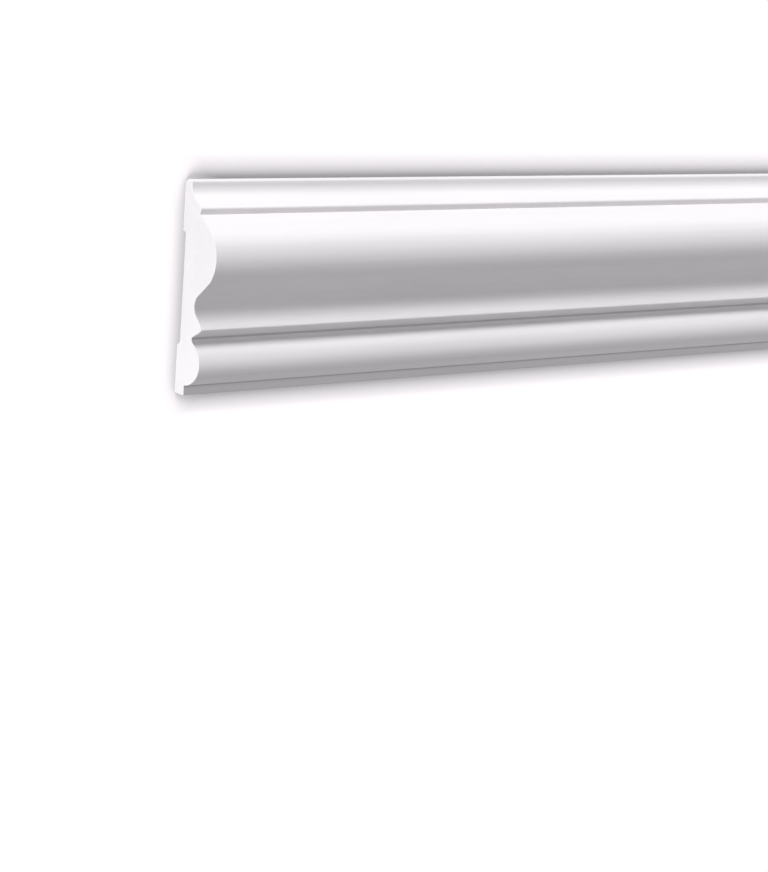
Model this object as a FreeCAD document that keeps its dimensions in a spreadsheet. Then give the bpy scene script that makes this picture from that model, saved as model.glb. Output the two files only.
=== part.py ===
import FreeCAD, Part

import math
import os
from enum import IntEnum

import Sketcher

# Panel moulding: one length of primed moulding stock, lying on its back with its face up.
# X runs along the stock, +Y towards its upper edge (the thin lip) and +Z out of its face.
# The origin is in the middle of the back, on the plane of the two glue lands.

# Sizes in millimetres and degrees, from the foot (low Y) up to the lip (high Y).
# A projection is a distance out from the back. A tilt is how far a surface turns away
# from facing straight out of the wall.
SIZES = {
    "stock_length": 2000,
    # foot: the narrow flat along the lower edge, and the eased heel behind it
    "heel_arris": 0.9,
    "foot_height": 4.2,
    "foot_projection": 6.7,
    "foot_arris": 0.5,
    # bead: a steep flank that rolls over into a rounder top
    "bead_projection": 17.2,
    "bead_flank_radius": 13.3,
    "bead_flank_tilt": 45,
    "bead_radius": 9.2,
    # quirk: the narrow groove between the bead and the listel
    "quirk_projection": 10.6,
    "quirk_radius": 2.2,
    "quirk_corner_radius": 0.7,
    "quirk_side_tilt": 60,
    # listel: the thin band over the quirk
    "listel_projection": 16.3,
    "listel_height": 1.6,
    "listel_tilt": 30,
    "listel_arris": 0.7,
    # ogee: a hollow that turns over into a swell
    "hollow_rise_tilt": 46,
    "hollow_projection": 11.3,
    "hollow_radius": 5.7,
    "swell_fall_tilt": 51,
    "swell_projection": 25.4,
    "swell_radius": 14.4,
    "swell_rise_tilt": 53,
    # ledge and band: the step over the ogee
    "ledge_width": 0.9,
    "band_projection": 11.7,
    "band_height": 2,
    "band_tilt": 20,
    "band_arris": 1,
    # cove and lip: the hollow curve up to the thin upper edge
    "cove_tilt": 55.5,
    "cove_radius": 6,
    "lip_projection": 5,
    "lip_height": 2.27,
    "lip_arris": 1.2,
    # back: an eased upper corner, and two glue lands with a recess between them; the lower
    # land counts from the lower edge, so the heel is part of it
    "ease_height": 1.4,
    "ease_depth": 2,
    "upper_land": 19.6,
    "lower_land": 20.5,
    "recess_depth": 2,
    "recess_side_tilt": 57,
}


class Axis(IntEnum):
    """How a sketch numbers its own axes."""

    WALL = -1
    MIDDLE = -2


class Point(IntEnum):
    """How a sketch numbers the points of an edge."""

    START = 1
    END = 2
    CENTRE = 3


class Heading(IntEnum):
    """The ways that the outline runs round the section, in degrees."""

    UP_WALL = 0
    OUT = 90
    DOWN_WALL = 180
    IN = -90


ORIGIN = (Axis.WALL, Point.START)


class Size:
    """A size, and the sheet's formula for it."""

    def __init__(self, value, formula):
        self.value = value
        self.formula = formula

    def __add__(self, other):
        return Size(self.value + other.value, f"({self.formula}) + ({other.formula})")

    def __sub__(self, other):
        return Size(self.value - other.value, f"({self.formula}) - ({other.formula})")

    def __neg__(self):
        return Size(-self.value, f"-({self.formula})")


class Outline:
    """The edges of a section in order, each starting where the last one ended.

    An edge is drawn where the sizes put it. Its joints and its limits then hold it
    there, and each limit is bound to the sheet.
    """

    def __init__(self):
        self.edges = []
        self.guides = []
        self.joints = []
        self.limits = []
        self.here = FreeCAD.Vector()
        self.tail = None

    def join(self, kind, *where):
        self.joints.append(Sketcher.Constraint(kind, *where))

    def limit(self, kind, where, size):
        self.limits.append((kind, where, size))

    def add(self, edge, first, last, smooth):
        """Adds an edge, joins it to the one before it and returns its number."""
        number = len(self.edges)
        self.edges.append(edge)
        if self.tail:
            self.join("Tangent" if smooth else "Coincident", *self.tail, number, first)
        self.tail = (number, last)
        return number

    def line(self, heading, run=None, out=None, smooth=False):
        """Draws a straight edge of a length, or one that ends a distance out from the back."""
        turn = math.radians(heading)
        way = FreeCAD.Vector(math.cos(turn), math.sin(turn), 0)
        length = run if out is None else (out - self.here.y) / way.y
        end = self.here + way * length
        number = self.add(Part.LineSegment(self.here, end), Point.START, Point.END, smooth)
        self.here = end
        return number

    def arc(self, radius, heading, next_heading, smooth=True):
        """Draws a round edge of a bound radius that turns from one heading to the next."""
        left = next_heading > heading
        side = math.radians(heading + (90 if left else -90))
        centre = self.here + FreeCAD.Vector(math.cos(side), math.sin(side), 0) * radius.value
        circle = Part.Circle(centre, FreeCAD.Vector(0, 0, 1), radius.value)
        if left:
            sweep = (heading - 90, next_heading - 90)
            first, last = Point.START, Point.END
        else:
            sweep = (next_heading + 90, heading + 90)
            first, last = Point.END, Point.START
        edge = Part.ArcOfCircle(circle, *[math.radians(angle) for angle in sweep])
        number = self.add(edge, first, last, smooth)
        self.here = edge.EndPoint if left else edge.StartPoint
        self.limit("Radius", (number,), radius)
        return number

    def hold_out(self, number, point, projection):
        """Holds a point of an edge at its distance out from the back."""
        self.limit("DistanceY", (*ORIGIN, number, point), projection)

    def hold_up(self, lower, upper, height):
        """Holds how far the upper point lies up the wall from the lower one."""
        self.limit("DistanceX", (*lower, *upper), height)

    def hold_handover(self, crest, point, heading):
        """Holds the heading at which an arc hands over to another, by a ray square to both."""
        arc = self.edges[crest]
        place = arc.StartPoint if point == Point.START else arc.EndPoint
        ray = len(self.edges)
        self.edges.append(Part.LineSegment(arc.Center, place))
        self.guides.append(ray)
        self.join("Coincident", ray, Point.START, crest, Point.CENTRE)
        self.join("Coincident", ray, Point.END, crest, point)
        self.limit("Angle", (ray,), Size(Heading.OUT, f"{Heading.OUT}") + heading)


def roll(radius, tilt):
    """How far the end of an arc lies in from its crest, where it has turned by a tilt."""
    return radius * (1 - math.cos(math.radians(tilt)))


def turned(radius, depth):
    """How far an arc has turned where it lies a depth in from its crest."""
    return math.degrees(math.acos(1 - depth / radius))


def make_sheet(doc):
    """Writes every size into the sheet, under its own name."""
    sheet = doc.addObject("Spreadsheet::Sheet", "sizes")
    for row, (name, value) in enumerate(SIZES.items(), start=1):
        sheet.set(f"A{row}", name.replace("_", " "))
        sheet.set(f"B{row}", str(value))
        sheet.setAlias(f"B{row}", name)
    doc.recompute()


def draw_foot(outline, size, value):
    """Draws the lower edge and the foot, and returns where the section starts."""
    outline.here = FreeCAD.Vector(0, value["heel_arris"], 0)
    bottom = outline.line(Heading.OUT, out=value["foot_projection"] - value["foot_arris"])
    outline.join("Vertical", bottom)
    outline.arc(size["foot_arris"], Heading.OUT, Heading.UP_WALL)
    foot = outline.line(Heading.UP_WALL, run=value["foot_height"] - value["foot_arris"], smooth=True)
    outline.join("Horizontal", foot)
    outline.hold_out(foot, Point.END, size["foot_projection"])
    outline.hold_up((bottom, Point.START), (foot, Point.END), size["foot_height"])
    return bottom, Point.START


def draw_bead(outline, size, value):
    """Draws the bead, and the hollow that leads from it into the quirk."""
    crest_depth = value["bead_projection"] - value["foot_projection"]
    flank_depth = crest_depth - roll(value["bead_radius"], value["bead_flank_tilt"])
    flank_depth += roll(value["bead_flank_radius"], value["bead_flank_tilt"])
    flank_start = turned(value["bead_flank_radius"], flank_depth)
    fall_depth = value["bead_projection"] - value["quirk_projection"]
    fall = turned(value["bead_radius"] + value["quirk_radius"], fall_depth)
    outline.arc(size["bead_flank_radius"], flank_start, value["bead_flank_tilt"], smooth=False)
    bead = outline.arc(size["bead_radius"], value["bead_flank_tilt"], -fall)
    outline.hold_out(bead, Point.CENTRE, size["bead_projection"] - size["bead_radius"])
    outline.hold_handover(bead, Point.END, size["bead_flank_tilt"])
    quirk = outline.arc(size["quirk_radius"], -fall, Heading.UP_WALL)
    outline.hold_out(quirk, Point.CENTRE, size["quirk_projection"] + size["quirk_radius"])
    outline.join("Vertical", quirk, Point.END, quirk, Point.CENTRE)


def draw_listel(outline, size, value):
    """Draws the quirk's rounded corner and straight side, and the listel over it."""
    listel_drop = value["listel_height"] * math.tan(math.radians(value["listel_tilt"]))
    side_end = value["listel_projection"] + listel_drop
    side_end += roll(value["listel_arris"], value["listel_tilt"])
    side_end -= roll(value["listel_arris"], value["quirk_side_tilt"])
    outline.arc(size["quirk_corner_radius"], Heading.UP_WALL, value["quirk_side_tilt"])
    side = outline.line(value["quirk_side_tilt"], out=side_end, smooth=True)
    outline.limit("Angle", (side,), size["quirk_side_tilt"])
    outline.arc(size["listel_arris"], value["quirk_side_tilt"], -value["listel_tilt"])
    listel = outline.line(-value["listel_tilt"], out=value["listel_projection"], smooth=True)
    outline.limit("Angle", (listel,), -size["listel_tilt"])
    outline.hold_out(listel, Point.END, size["listel_projection"])
    outline.hold_up((listel, Point.START), (listel, Point.END), size["listel_height"])


def draw_ogee(outline, size, value):
    """Draws the hollow and the swell, down to the ledge's edge."""
    rise_end = value["hollow_projection"] + roll(value["hollow_radius"], value["hollow_rise_tilt"])
    rise = outline.line(-value["hollow_rise_tilt"], out=rise_end)
    outline.limit("Angle", (rise,), -size["hollow_rise_tilt"])
    hollow = outline.arc(
        size["hollow_radius"], -value["hollow_rise_tilt"], value["swell_fall_tilt"]
    )
    outline.hold_out(hollow, Point.CENTRE, size["hollow_projection"] + size["hollow_radius"])

    fall_end = value["swell_projection"] - roll(value["swell_radius"], value["swell_fall_tilt"])
    fall = outline.line(value["swell_fall_tilt"], out=fall_end, smooth=True)
    outline.limit("Angle", (fall,), size["swell_fall_tilt"])
    swell = outline.arc(size["swell_radius"], value["swell_fall_tilt"], -value["swell_rise_tilt"])
    outline.hold_out(swell, Point.CENTRE, size["swell_projection"] - size["swell_radius"])

    ledge_edge = size["band_projection"] + size["ledge_width"]
    slope = outline.line(-value["swell_rise_tilt"], out=ledge_edge.value, smooth=True)
    outline.limit("Angle", (slope,), -size["swell_rise_tilt"])
    outline.hold_out(slope, Point.END, ledge_edge)


def draw_band(outline, size, value):
    """Draws the ledge and the band, as far as the band's rounded arris."""
    ledge = outline.line(Heading.IN, out=value["band_projection"])
    outline.join("Vertical", ledge)
    outline.hold_out(ledge, Point.END, size["band_projection"])
    band_run = value["band_height"] / math.cos(math.radians(value["band_tilt"]))
    band = outline.line(value["band_tilt"], run=band_run)
    outline.limit("Angle", (band,), size["band_tilt"])
    outline.hold_up((band, Point.START), (band, Point.END), size["band_height"])
    outline.arc(size["band_arris"], value["band_tilt"], -value["cove_tilt"])


def draw_cove(outline, size, value):
    """Draws the cove and the lip, and returns where the upper edge ends."""
    cove_start = value["lip_projection"] + roll(value["cove_radius"], value["cove_tilt"])
    cove = outline.line(-value["cove_tilt"], out=cove_start, smooth=True)
    outline.limit("Angle", (cove,), -size["cove_tilt"])
    outline.arc(size["cove_radius"], -value["cove_tilt"], Heading.UP_WALL)
    lip = outline.line(Heading.UP_WALL, run=value["lip_height"] - value["lip_arris"], smooth=True)
    outline.join("Horizontal", lip)
    outline.hold_out(lip, Point.END, size["lip_projection"])
    outline.arc(size["lip_arris"], Heading.UP_WALL, Heading.IN)
    top = outline.line(Heading.IN, out=value["ease_depth"], smooth=True)
    outline.join("Vertical", top)
    outline.hold_up((lip, Point.START), (top, Point.END), size["lip_height"])
    outline.hold_out(top, Point.END, size["ease_depth"])
    return top, Point.END


def draw_back(outline, size, value, bottom):
    """Draws the back from the lip down to the heel, and closes the outline."""
    ease_slope = math.degrees(math.atan2(value["ease_depth"], value["ease_height"]))
    ease = outline.line(Heading.DOWN_WALL + ease_slope, out=0)
    outline.join("PointOnObject", ease, Point.END, Axis.WALL)
    outline.hold_up((ease, Point.END), (ease, Point.START), size["ease_height"])
    upper = outline.line(Heading.DOWN_WALL, run=value["upper_land"])
    outline.join("Horizontal", upper)
    outline.hold_up((upper, Point.END), (upper, Point.START), size["upper_land"])

    tilt = value["recess_side_tilt"]
    side_run = value["recess_depth"] / math.tan(math.radians(tilt))
    down_wall = Size(Heading.DOWN_WALL, f"{Heading.DOWN_WALL}")
    side_heading = down_wall - size["recess_side_tilt"]
    upper_side = outline.line(side_heading.value, out=value["recess_depth"])
    outline.limit("Angle", (upper_side,), side_heading)
    outline.hold_out(upper_side, Point.END, size["recess_depth"])
    floor = outline.line(Heading.DOWN_WALL, run=outline.here.x - value["lower_land"] - side_run)
    outline.join("Horizontal", floor)
    lower_side = outline.line(-side_heading.value, out=0)
    outline.limit("Angle", (lower_side,), -side_heading)
    outline.join("PointOnObject", lower_side, Point.END, Axis.WALL)
    lower = outline.line(Heading.DOWN_WALL, run=value["lower_land"] - value["heel_arris"])
    outline.join("Horizontal", lower)
    outline.hold_up(bottom, (lower, Point.START), size["lower_land"])
    outline.arc(size["heel_arris"], Heading.DOWN_WALL, Heading.OUT)
    outline.join("Tangent", *outline.tail, *bottom)


def centre_on_back(outline, bottom, top):
    """Draws a guide along the back from edge to edge, with its middle at the origin."""
    across = len(outline.edges)
    corner = FreeCAD.Vector(outline.edges[top[0]].EndPoint.x, 0, 0)
    outline.edges.append(Part.LineSegment(FreeCAD.Vector(), corner))
    outline.guides.append(across)
    outline.join("PointOnObject", across, Point.START, Axis.WALL)
    outline.join("Vertical", across, Point.START, *bottom)
    outline.join("Vertical", across, Point.END, *top)
    outline.join("Symmetric", across, Point.START, across, Point.END, Axis.MIDDLE)


def draw_section(size):
    """Draws the whole section, lying with its back on the wall axis."""
    value = {name: each.value for name, each in size.items()}
    outline = Outline()
    bottom = draw_foot(outline, size, value)
    draw_bead(outline, size, value)
    draw_listel(outline, size, value)
    draw_ogee(outline, size, value)
    draw_band(outline, size, value)
    top = draw_cove(outline, size, value)
    draw_back(outline, size, value, bottom)
    centre_on_back(outline, bottom, top)
    return outline


def add_sketch(body, outline):
    """Puts the outline on the body's end plane, and binds its limits to the sheet."""
    sketch = body.newObject("Sketcher::SketchObject", "section")
    plane = next(f for f in body.Origin.OriginFeatures if f.Role == "YZ_Plane")
    sketch.AttachmentSupport = [(plane, "")]
    sketch.MapMode = "FlatFace"
    for number, edge in enumerate(outline.edges):
        sketch.addGeometry(edge, number in outline.guides)
    limits = []
    for kind, where, size in outline.limits:
        datum = math.radians(size.value) if kind == "Angle" else size.value
        limits.append(Sketcher.Constraint(kind, *where, datum))
    sketch.addConstraint(outline.joints + limits)
    for index, (kind, where, size) in enumerate(outline.limits, start=len(outline.joints)):
        sketch.setExpression(f"Constraints[{index}]", size.formula)
    return sketch


def make_moulding(doc):
    """Runs the section along the stock, half to each side of the end plane."""
    size = {name: Size(value, f"sizes.{name}") for name, value in SIZES.items()}
    body = doc.addObject("PartDesign::Body", "moulding_body")
    body.Label = "panel_moulding"
    sketch = add_sketch(body, draw_section(size))
    stock = body.newObject("PartDesign::Pad", "stock")
    stock.Profile = sketch
    stock.SideType = "Symmetric"
    stock.setExpression("Length", size["stock_length"].formula)
    return body


def check(doc, bodies):
    """Stops if a feature failed or a body is no sound solid."""
    for thing in doc.Objects:
        if "Invalid" in thing.State or "Error" in thing.State:
            raise RuntimeError(f"{thing.Label} failed: {thing.State}")
    for body in bodies:
        if body.Shape.isNull() or not body.Shape.isValid():
            raise RuntimeError(f"{body.Label} has no valid shape")


def main():
    doc = FreeCAD.newDocument("panel_moulding")
    make_sheet(doc)
    bodies = [make_moulding(doc)]
    doc.recompute()
    check(doc, bodies)
    os.makedirs("parts", exist_ok=True)
    for body in bodies:
        body.Shape.exportStep(f"parts/{body.Label}.step")
        box = body.Shape.BoundBox
        print(f"{body.Label}: {box.XLength:.2f} x {box.YLength:.2f} x {box.ZLength:.2f} mm,"
              f" {body.Shape.Volume / 1000:.1f} cubic cm")


main()
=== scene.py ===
# Panel moulding: one 2 metre strip of white-primed rigid foam, lying on its back.
# X runs along the strip, +Y up towards its thin lip and +Z out of its face, as in the frame.
import math
from typing import NamedTuple

import bpy
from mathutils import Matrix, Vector


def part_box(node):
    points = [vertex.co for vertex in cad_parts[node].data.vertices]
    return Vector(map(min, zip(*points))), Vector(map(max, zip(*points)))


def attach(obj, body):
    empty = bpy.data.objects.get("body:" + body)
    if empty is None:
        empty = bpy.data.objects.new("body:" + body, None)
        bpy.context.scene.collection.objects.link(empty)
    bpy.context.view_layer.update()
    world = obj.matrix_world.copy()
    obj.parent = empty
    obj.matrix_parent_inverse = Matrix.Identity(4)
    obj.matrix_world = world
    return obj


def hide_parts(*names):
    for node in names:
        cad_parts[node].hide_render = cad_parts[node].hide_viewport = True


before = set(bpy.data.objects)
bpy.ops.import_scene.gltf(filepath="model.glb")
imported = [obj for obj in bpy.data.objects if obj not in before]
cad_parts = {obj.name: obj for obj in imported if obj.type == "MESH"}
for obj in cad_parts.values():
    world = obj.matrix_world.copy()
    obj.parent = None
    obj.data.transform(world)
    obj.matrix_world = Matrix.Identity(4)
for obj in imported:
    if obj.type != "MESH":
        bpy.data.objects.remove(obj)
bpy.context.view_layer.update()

MM = 0.001


class Run(NamedTuple):
    """A straight stretch of the section."""

    member: str
    heading: float
    length: float


class Arc(NamedTuple):
    """A round stretch of the section, which turns from one heading to the last."""

    member: str
    radius: float
    heading: float
    last: float


# The section, walked from the heel up the face and home along the back.
# A heading is in degrees from +Y, turning towards +Z. Lengths and radii are in millimetres.
START = (-45.0, 0.9)
SECTION = (
    Run("bottom edge", 90, 5.3),
    Arc("foot arris", 0.5, 90, 0),
    Run("foot", 0, 3.7),
    Arc("bead flank", 13.3, 83.09, 45),
    Arc("bead", 9.2, 45, -65.10),
    Arc("quirk", 2.2, -65.10, 0),
    Arc("quirk corner", 0.7, 0, 60),
    Run("quirk side", 60, 6.948),
    Arc("listel arris", 0.7, 60, -30),
    Run("listel", -30, 1.848),
    Run("hollow's lower side", -46, 4.531),
    Arc("hollow", 5.7, -46, 51),
    Run("swell's fall", 51, 8.556),
    Arc("swell", 14.4, 51, -53),
    Run("slope", -53, 8.848),
    Run("ledge", -90, 0.9),
    Run("band", 20, 2.128),
    Arc("band arris", 1, 20, -55.5),
    Run("cove slope", -55.5, 5.403),
    Arc("cove", 6, -55.5, 0),
    Run("lip", 0, 1.07),
    Arc("lip arris", 1.2, 0, -90),
    Run("top edge", -90, 1.8),
    Run("ease", -124.992, 2.441),
    Run("upper land", 180, 19.6),
    Run("recess upper side", 123, 2.385),
    Run("recess", 180, 45.903),
    Run("recess lower side", -123, 2.385),
    Run("lower land", 180, 19.6),
    Arc("heel", 0.9, 180, 90),
)

# The strip's length in millimetres, and how many equal lengths it is extruded in.
LENGTH = 2000.0
LENGTH_PARTS = 20

# Arcs turn by so many degrees a step, and arrises, which are no larger than a radius, by more.
# Points closer than a hundredth of a millimetre are one.
ARC_STEP = 2.5
ARRIS_STEP = 6.0
ARRIS_RADIUS = 1.3
DOUBLES = 0.01

# Corners sharper than this, in degrees, stay crisp.
SMOOTH_ANGLE = 16.0

# The dense skin shows as a rim of this width round a sawn end, made of faces with four corners.
SKIN = 0.45
RIM_CORNERS = 4

# An end's normal lies along X. The back's points down, and nothing on it is higher than its depth.
END_FACING = 0.9
BACK_FACING = -0.1
BACK_DEPTH = 2.1

# The members that start in a tight crease or on a sharp edge, and how far from it painted shade
# darkens the primer.
PAINTED_SHADE_CREASES = {"foot arris": 0.9, "bead flank": 1.2, "quirk corner": 0.85}

# How large the marks on each finish are, in millimetres, and how deep those are that have depth.
PRIMER_CLOUDS = 40.0
SPRAY_PASSES = 1.6
ORANGE_PEEL = 1.8
PEEL_DEPTH = 0.012
DUST = 0.5
DUST_DEPTH = 0.004
FOAM_CELLS = 0.7
CELL_DEPTH = 0.05
FOAM_CLOUDS = 9.0
SAW_MARKS = 6.283
SAW_DEPTH = 0.03
SKIN_CELLS = 0.4
SKIN_DEPTH = 0.01
BACK_CLOUDS = 30.0
BACK_LUMPS = 3.0
LUMP_DEPTH = 0.08

# The marks of the spray run along the strip, drawn out by so many times their width. A pass of
# the sprayer shows by a share of its own shade, and the roughness follows the orange peel.
CLOUD_STRETCH = 4.0
PASS_STRETCH = 60.0
PASS_SHARE = 0.35
PRIMER_ROUGHNESS = (0.5, 0.6)

# The saw marks lean by some degrees and waver. A wave at a scale of 1 has bands this wide.
SAW_LEAN = 12.0
SAW_WAVER = 1.5
WAVE_BAND = math.pi / 10

# Painted light whitens the sawn end most at a place below the middle of the section, and fades out
# above it, both in millimetres. A pit is a share of a cell's width, and shows by a share of painted
# shade.
PAINTED_LIGHT_BELOW = -40.0
PAINTED_LIGHT_ABOVE = 30.0
PAINTED_LIGHT_SHARE = 0.9
PIT_WIDTH = 0.35
PIT_SHADE_SHARE = 0.3

# Most of a noise lies in the middle of its range, and a narrower stretch of it gives firmer
# marks. More detail gives rougher ones.
SOFT = (0.3, 0.7)
FIRM = (0.35, 0.65)
STREAKS = (0.4, 0.75)
FINE_DETAIL = 3.0
COARSE_DETAIL = 4.0

# The camera stands where the photograph's vanishing points put it.
CAMERA_PLACE = (-1.5116, 0.14973, 0.77572)
CAMERA_TURN = (-15.9234, -37.8410, 5.3531)
CAMERA_LENS = 92.89

# A low wide key light, swung a little away from the sawn end, a side light square to that end,
# and plain light all round. Strengths are in watts per square metre, angles in degrees.
KEY_HEIGHT = 23.1
KEY_SWING = 16.0
KEY_STRENGTH = 2.4
KEY_ANGLE = 34.6
SIDE_STRENGTH = 2.12
SIDE_ANGLE = 1.5
SIDE_SOURCE = (-1.0, 0.0, 0.02)
ROOM_STRENGTH = 0.396

# The floor is 40 metres across. The eye sees it white, without its shading, and the light that it
# throws back on the strip is that of a slightly darker paint.
FLOOR_SIZE = 40.0
FLOOR_SEEN = "#FFFBFF"
FLOOR_PAINT = "#CECACE"

# The soft shadow is how much of the sky a point of the floor sees within reach, in millimetres,
# raised to a power and lifted, so that it ends in plain white. That sky leans to the left, and
# the shadow is never darker than a share of white, which is higher beside the sawn end.
SHADE_REACH = 10.8
SHADE_DEPTH = 2.35
SHADE_LIFT = 1.04
SHADE_LEAN = (-0.8, 0.0, 1.0)
SHADE_DARKEST = 0.33
SHADE_DARKEST_LEFT = 0.6
SHADE_LEFT_WIDTH = 16.0


def linear(code):
    """An sRGB hex colour as linear RGBA."""
    parts = [int(code[i : i + 2], 16) / 255 for i in (1, 3, 5)]
    return (*(c / 12.92 if c <= 0.04045 else ((c + 0.055) / 1.055) ** 2.4 for c in parts), 1.0)


def along(heading):
    """The direction in the section's plane that a heading gives."""
    turn = math.radians(heading)
    return Vector((0, math.cos(turn), math.sin(turn)))


def draw_run(pen, run):
    """Extrudes the pen's vertex along a straight stretch, and returns where it ends."""
    step = along(run.heading) * run.length * MM
    bpy.ops.mesh.extrude_region_move(TRANSFORM_OT_translate={"value": step})
    return pen + step


def draw_arc(pen, arc):
    """Spins the pen's vertex round an arc, and returns where it ends."""
    turn = arc.last - arc.heading
    side = math.copysign(90, turn)
    centre = pen + along(arc.heading + side) * arc.radius * MM
    step = ARRIS_STEP if arc.radius <= ARRIS_RADIUS else ARC_STEP
    bpy.ops.mesh.spin(
        steps=math.ceil(abs(turn) / step),
        angle=-math.radians(turn),
        center=centre,
        axis=(1, 0, 0),
    )
    return centre + along(arc.last - side) * arc.radius * MM


def draw_section():
    """Draws the section with one vertex as the pen, and returns where each member starts."""
    pen = Vector((-LENGTH / 2, *START)) * MM
    bpy.ops.object.select_all(action="DESELECT")
    bpy.ops.mesh.primitive_plane_add(size=MM)
    bpy.ops.object.mode_set(mode="EDIT")
    bpy.ops.mesh.merge(type="CENTER")
    bpy.ops.transform.translate(value=pen)
    starts = {}
    for part in SECTION:
        starts[part.member] = pen.copy()
        pen = draw_run(pen, part) if isinstance(part, Run) else draw_arc(pen, part)
    bpy.ops.mesh.select_all(action="SELECT")
    bpy.ops.mesh.remove_doubles(threshold=DOUBLES * MM)
    return starts


def select_faces(piece, wanted):
    """Leaves exactly the wanted faces selected, with the piece in edit mode."""
    bpy.ops.mesh.select_mode(type="FACE")
    bpy.ops.mesh.select_all(action="DESELECT")
    bpy.ops.object.mode_set(mode="OBJECT")
    for face in piece.data.polygons:
        face.select = wanted(piece, face)
    bpy.ops.object.mode_set(mode="EDIT")


def is_any(piece, face):
    """True for every face."""
    return True


def is_end(piece, face):
    """True for the sawn ends."""
    return abs(face.normal.x) > END_FACING


def is_core(piece, face):
    """True for what the inset leaves in the middle of a sawn end."""
    return is_end(piece, face) and len(face.vertices) > RIM_CORNERS


def is_back(piece, face):
    """True for the lands, the recess and what else of the back looks down."""
    highest = max(piece.data.vertices[v].co.z for v in face.vertices)
    looks_down = not is_end(piece, face) and face.normal.z < BACK_FACING
    return looks_down and highest < BACK_DEPTH * MM


def lay_finish(piece, wanted, material):
    """Gives the wanted faces a material of their own."""
    select_faces(piece, wanted)
    piece.data.materials.append(material)
    piece.active_material_index = len(piece.data.materials) - 1
    bpy.ops.object.material_slot_assign()


def fit_crest(piece):
    """Brings the crest down to the frame's own, whose facets cut a little off it."""
    bpy.ops.mesh.select_all(action="SELECT")
    piece.update_from_editmode()
    crest = max(v.co.z for v in piece.data.vertices)
    ratio = min(1.0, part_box("panel_moulding")[1][2] / crest)
    bpy.ops.transform.resize(value=(1, 1, ratio), center_override=(0, 0, 0))


def node(tree, kind, sockets=(), **settings):
    """Adds a node with its settings, then fills its sockets, by name or in the order it shows them.

    A socket takes a value, an output, or a node, which stands for its first output. In order, a
    Map Range takes its value, the stretch that comes from and the stretch it becomes, and a Mix
    takes its factor and its two colours.
    """
    made = tree.nodes.new(kind)
    for name, value in settings.items():
        setattr(made, name, value)
    shown = [socket for socket in made.inputs if socket.enabled]
    places = {socket.name: socket for socket in shown}
    named = sockets if isinstance(sockets, dict) else dict(enumerate(sockets))
    for key, value in named.items():
        socket = places[key] if isinstance(key, str) else shown[key]
        if isinstance(value, bpy.types.Node):
            value = next(output for output in value.outputs if output.enabled)
        if isinstance(value, bpy.types.NodeSocket):
            tree.links.new(value, socket)
        else:
            socket.default_value = value
    return made


def new_material(name):
    """A material with an empty tree, and its Object coordinates."""
    material = bpy.data.materials.new(name)
    material.use_nodes = True
    tree = material.node_tree
    tree.nodes.clear()
    place = node(tree, "ShaderNodeTexCoord").outputs["Object"]
    return material, tree, place


def painted_crease_shade(tree, place, starts):
    """How much painted shade a point of the face gets from its nearest crease: 1 in it, 0 past its
    width.
    """
    across = node(tree, "ShaderNodeVectorMath", [place, (0, 1, 1)], operation="MULTIPLY")
    nearest = 1.0
    for member, width in PAINTED_SHADE_CREASES.items():
        corner = (0, starts[member].y, starts[member].z)
        gap = node(tree, "ShaderNodeVectorMath", [across, corner], operation="DISTANCE")
        share = node(tree, "ShaderNodeMath", [gap, width * MM], operation="DIVIDE")
        nearest = node(tree, "ShaderNodeMath", [share, nearest], operation="MINIMUM")
    fade = [nearest, 0.0, 1.0, 1.0, 0.0]
    return node(tree, "ShaderNodeMapRange", fade, interpolation_type="SMOOTHSTEP")


def sprayed_white_primer(starts):
    """Water-based primer, sprayed: a chalky cool white with a soft sheen and a faint orange peel.

    Painted shade darkens it in the tight creases and round the foot's edge, as fine grey lines.
    """
    material, tree, place = new_material("sprayed_white_primer")
    drawn = node(tree, "ShaderNodeMapping", {"Vector": place, "Scale": (1 / CLOUD_STRETCH, 1, 1)})
    marks = {"Vector": drawn, "Scale": 1 / (PRIMER_CLOUDS * MM), "Detail": FINE_DETAIL}
    clouds = node(tree, "ShaderNodeTexNoise", marks)
    drawn = node(tree, "ShaderNodeMapping", {"Vector": place, "Scale": (1 / PASS_STRETCH, 1, 1)})
    passes = node(tree, "ShaderNodeTexNoise", {"Vector": drawn, "Scale": 1 / (SPRAY_PASSES * MM)})
    peel = node(tree, "ShaderNodeTexNoise", {"Vector": place, "Scale": 1 / (ORANGE_PEEL * MM)})
    dust = node(tree, "ShaderNodeTexNoise", {"Vector": place, "Scale": 1 / (DUST * MM)})

    share = node(tree, "ShaderNodeMapRange", [clouds, *FIRM, 0.0, 1.0])
    shades = [share, linear("#ECE9EC"), linear("#F0EDF0")]
    coat = node(tree, "ShaderNodeMix", shades, data_type="RGBA")
    share = node(tree, "ShaderNodeMapRange", [passes, *STREAKS, 0.0, PASS_SHARE])
    coat = node(tree, "ShaderNodeMix", [share, coat, linear("#E6E3E6")], data_type="RGBA")
    # Painted shade: the creases and the foot's edge are darkened towards grey.
    shades = [painted_crease_shade(tree, place, starts), coat, linear("#BDBBBE")]
    colour = node(tree, "ShaderNodeMix", shades, data_type="RGBA")
    rough = node(tree, "ShaderNodeMapRange", [peel, *SOFT, *PRIMER_ROUGHNESS])

    under = node(tree, "ShaderNodeBump", {"Height": peel, "Distance": PEEL_DEPTH * MM})
    relief = {"Height": dust, "Distance": DUST_DEPTH * MM, "Normal": under}
    skin = node(tree, "ShaderNodeBump", relief)
    finish = {"Base Color": colour, "Roughness": rough, "IOR": 1.48, "Normal": skin}
    shader = node(tree, "ShaderNodeBsdfPrincipled", finish)
    node(tree, "ShaderNodeOutputMaterial", {"Surface": shader})
    return material


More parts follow.
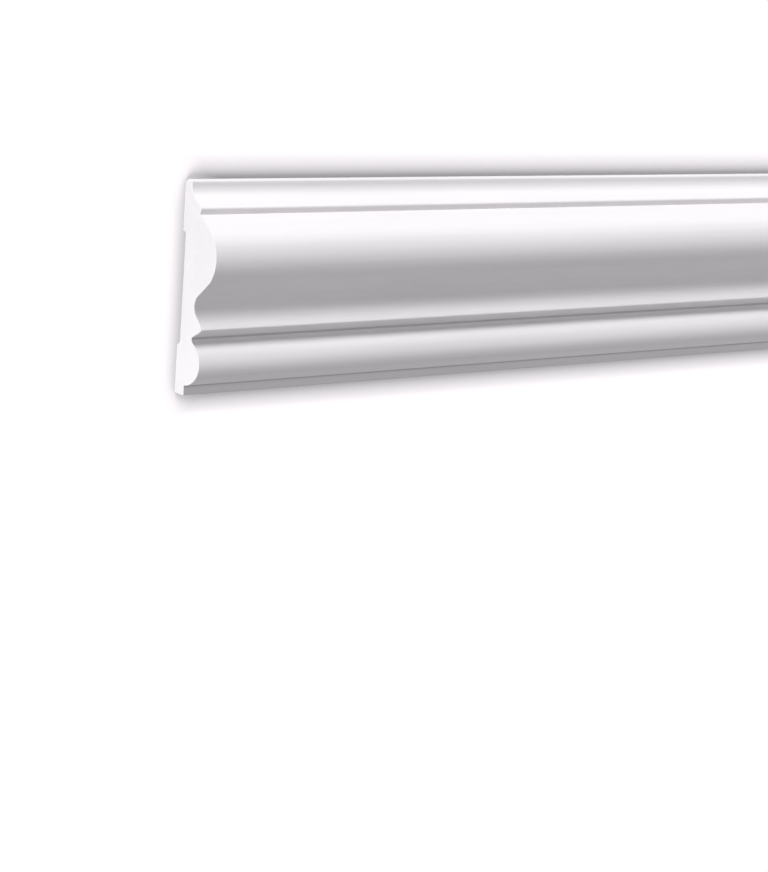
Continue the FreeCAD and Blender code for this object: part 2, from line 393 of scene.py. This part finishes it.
def sawn_foam_core():
    """Rigid polyurethane foam cut with a fine saw: bone white, dead matt, with fine cells.

    The cells are about 0.2 mm across, and are drawn at 0.7 mm so that they show. The saw's strokes
    left marks about 6 mm apart. Painted light makes the end whiter towards the foot.
    """
    material, tree, place = new_material("sawn_foam_core")
    cells = node(tree, "ShaderNodeTexVoronoi", {"Vector": place, "Scale": 1 / (FOAM_CELLS * MM)})
    lean = (math.radians(SAW_LEAN), 0, 0)
    turned = node(tree, "ShaderNodeMapping", {"Vector": place, "Rotation": lean})
    marks = {"Vector": turned, "Scale": WAVE_BAND / (SAW_MARKS * MM), "Distortion": SAW_WAVER}
    saw = node(tree, "ShaderNodeTexWave", marks, bands_direction="Y").outputs["Fac"]
    marks = {"Vector": place, "Scale": 1 / (FOAM_CLOUDS * MM), "Detail": FINE_DETAIL}
    clouds = node(tree, "ShaderNodeTexNoise", marks)

    share = node(tree, "ShaderNodeMapRange", [clouds, *SOFT, 0.0, 1.0])
    shades = [share, linear("#E8E6E8"), linear("#EEECEE")]
    foam = node(tree, "ShaderNodeMix", shades, data_type="RGBA")
    # Painted light: the sawn end is whiter towards the foot.
    height = node(tree, "ShaderNodeSeparateXYZ", [place]).outputs["Y"]
    fade = [height, PAINTED_LIGHT_BELOW * MM, PAINTED_LIGHT_ABOVE * MM, PAINTED_LIGHT_SHARE, 0.0]
    share = node(tree, "ShaderNodeMapRange", fade)
    foam = node(tree, "ShaderNodeMix", [share, foam, linear("#F5F3F5")], data_type="RGBA")
    # Painted shade in the pits between the foam's cells.
    share = node(tree, "ShaderNodeMapRange", [cells, 0.0, PIT_WIDTH, PIT_SHADE_SHARE, 0.0])
    colour = node(tree, "ShaderNodeMix", [share, foam, linear("#D8D6D8")], data_type="RGBA")

    under = node(tree, "ShaderNodeBump", {"Height": saw, "Distance": SAW_DEPTH * MM})
    relief = {"Height": cells, "Distance": CELL_DEPTH * MM, "Normal": under}
    cut = node(tree, "ShaderNodeBump", relief)
    finish = {"Base Color": colour, "Roughness": 0.85, "IOR": 1.45, "Normal": cut}
    shader = node(tree, "ShaderNodeBsdfPrincipled", finish)
    node(tree, "ShaderNodeOutputMaterial", {"Surface": shader})
    return material


def sawn_foam_skin():
    """The dense skin that forms against the mould, cut through: whiter and closer than the core.

    Its cells are under 0.1 mm across, and are drawn at 0.4 mm so that they show.
    """
    material, tree, place = new_material("sawn_foam_skin")
    cells = node(tree, "ShaderNodeTexNoise", {"Vector": place, "Scale": 1 / (SKIN_CELLS * MM)})
    shades = [cells, linear("#EFEDEF"), linear("#F4F2F4")]
    colour = node(tree, "ShaderNodeMix", shades, data_type="RGBA")
    cut = node(tree, "ShaderNodeBump", {"Height": cells, "Distance": SKIN_DEPTH * MM})
    finish = {"Base Color": colour, "Roughness": 0.7, "IOR": 1.48, "Normal": cut}
    shader = node(tree, "ShaderNodeBsdfPrincipled", finish)
    node(tree, "ShaderNodeOutputMaterial", {"Surface": shader})
    return material


def moulded_foam_back():
    """The back as it leaves the mould: the same primer, misted thinly over coarser foam skin."""
    material, tree, place = new_material("moulded_foam_back")
    marks = {"Vector": place, "Scale": 1 / (BACK_LUMPS * MM), "Detail": COARSE_DETAIL}
    lumps = node(tree, "ShaderNodeTexNoise", marks)
    marks = {"Vector": place, "Scale": 1 / (BACK_CLOUDS * MM), "Detail": FINE_DETAIL}
    clouds = node(tree, "ShaderNodeTexNoise", marks)
    share = node(tree, "ShaderNodeMapRange", [clouds, *FIRM, 0.0, 1.0])
    shades = [share, linear("#DDDBDD"), linear("#E7E5E7")]
    colour = node(tree, "ShaderNodeMix", shades, data_type="RGBA")
    skin = node(tree, "ShaderNodeBump", {"Height": lumps, "Distance": LUMP_DEPTH * MM})
    finish = {"Base Color": colour, "Roughness": 0.75, "IOR": 1.48, "Normal": skin}
    shader = node(tree, "ShaderNodeBsdfPrincipled", finish)
    node(tree, "ShaderNodeOutputMaterial", {"Surface": shader})
    return material


def make_strip():
    """Runs the section along the strip and insets the skin on its ends."""
    starts = draw_section()
    piece = bpy.context.object
    piece.name = piece.data.name = "moulding_strip"
    bpy.ops.mesh.edge_face_add()
    step = (LENGTH / LENGTH_PARTS * MM, 0, 0)
    for _ in range(LENGTH_PARTS):
        bpy.ops.mesh.extrude_region_move(TRANSFORM_OT_translate={"value": step})
    fit_crest(piece)
    bpy.ops.mesh.normals_make_consistent(inside=False)
    select_faces(piece, is_end)
    bpy.ops.mesh.inset(thickness=SKIN * MM, use_even_offset=True)
    return piece, starts


def lay_finishes(piece, starts):
    """Primes the strip all over, then gives its sawn ends and its back their own finishes."""
    lay_finish(piece, is_any, sprayed_white_primer(starts))
    lay_finish(piece, is_end, sawn_foam_skin())
    lay_finish(piece, is_core, sawn_foam_core())
    lay_finish(piece, is_back, moulded_foam_back())


def smooth_curves(piece):
    """Shades the arcs round and the flats flat, and keeps the corners between them crisp."""
    bpy.ops.object.shade_smooth_by_angle(angle=math.radians(SMOOTH_ANGLE))
    bpy.ops.object.modifier_add(type="WEIGHTED_NORMAL")
    piece.modifiers[-1].keep_sharp = True
    bpy.ops.object.modifier_apply(modifier=piece.modifiers[-1].name)


def seen_directly(tree):
    """1 for rays from the eye, straight, off a gloss or through glass, and 0 for the rest."""
    rays = node(tree, "ShaderNodeLightPath").outputs
    seen = rays["Is Camera Ray"]
    for kind in ("Is Glossy Ray", "Is Transmission Ray"):
        seen = node(tree, "ShaderNodeMath", [seen, rays[kind]], operation="MAXIMUM")
    return seen


def studio_floor_paint():
    """White backdrop paint: seen as plain white, with a soft shadow close round the object."""
    material, tree, place = new_material("studio_floor_paint")
    lean = node(tree, "ShaderNodeVectorMath", [SHADE_LEAN], operation="NORMALIZE")
    reach = {"Distance": SHADE_REACH * MM, "Normal": lean}
    sky = node(tree, "ShaderNodeAmbientOcclusion", reach).outputs["AO"]
    shade = node(tree, "ShaderNodeMath", [sky, SHADE_DEPTH], operation="POWER")

    left = node(tree, "ShaderNodeSeparateXYZ", [place]).outputs["X"]
    end = -LENGTH / 2 * MM
    fade = [left, end, end + SHADE_LEFT_WIDTH * MM, SHADE_DARKEST_LEFT, SHADE_DARKEST]
    darkest = node(tree, "ShaderNodeMapRange", fade)
    shade = node(tree, "ShaderNodeMath", [shade, darkest], operation="MAXIMUM")
    shade = node(tree, "ShaderNodeMath", [shade, SHADE_LIFT], operation="MULTIPLY")

    white = node(tree, "ShaderNodeEmission", {"Color": linear(FLOOR_SEEN), "Strength": shade})
    bounce = node(tree, "ShaderNodeBsdfDiffuse", {"Color": linear(FLOOR_PAINT)})
    either = node(tree, "ShaderNodeMixShader", [seen_directly(tree), bounce, white])
    node(tree, "ShaderNodeOutputMaterial", {"Surface": either})
    return material


def lay_floor():
    """The floor that the strip lies on."""
    bpy.ops.object.select_all(action="DESELECT")
    bpy.ops.mesh.primitive_plane_add(size=FLOOR_SIZE)
    floor = bpy.context.object
    floor.name = "studio_floor"
    floor.data.materials.append(studio_floor_paint())


def light_room():
    """Plain light all round, which the camera sees as white."""
    room = bpy.data.worlds.new("studio_room")
    bpy.context.scene.world = room
    room.use_nodes = True
    tree = room.node_tree
    tree.nodes.clear()
    fade = [seen_directly(tree), 0.0, 1.0, ROOM_STRENGTH, 1.0]
    strength = node(tree, "ShaderNodeMapRange", fade)
    light = node(tree, "ShaderNodeBackground", {"Color": linear("#FFFFFF"), "Strength": strength})
    node(tree, "ShaderNodeOutputWorld", {"Surface": light})


def hang_lamp(name, source, strength, angle):
    """A far, wide lamp that shines from a direction."""
    light = bpy.data.lights.new(name, "SUN")
    light.energy = strength
    light.angle = math.radians(angle)
    lamp = bpy.data.objects.new(name, light)
    bpy.context.scene.collection.objects.link(lamp)
    lamp.rotation_euler = Vector(source).to_track_quat("Z", "Y").to_euler()


def stand_camera():
    """The camera, at the photograph's own place and angle."""
    camera = bpy.data.objects.new("camera", bpy.data.cameras.new("camera"))
    bpy.context.scene.collection.objects.link(camera)
    camera.location = CAMERA_PLACE
    camera.rotation_euler = [math.radians(turn) for turn in CAMERA_TURN]
    camera.data.lens = CAMERA_LENS
    bpy.context.scene.camera = camera


strip, member_starts = make_strip()
lay_finishes(strip, member_starts)
bpy.ops.object.mode_set(mode="OBJECT")
smooth_curves(strip)
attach(strip, "root")
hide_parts("panel_moulding")

lay_floor()
light_room()
key_source = along(KEY_HEIGHT) + Vector((math.tan(math.radians(KEY_SWING)), 0, 0))
hang_lamp("key_light", key_source, KEY_STRENGTH, KEY_ANGLE)
hang_lamp("side_light", SIDE_SOURCE, SIDE_STRENGTH, SIDE_ANGLE)
stand_camera()
bpy.context.scene.view_settings.view_transform = "Standard"
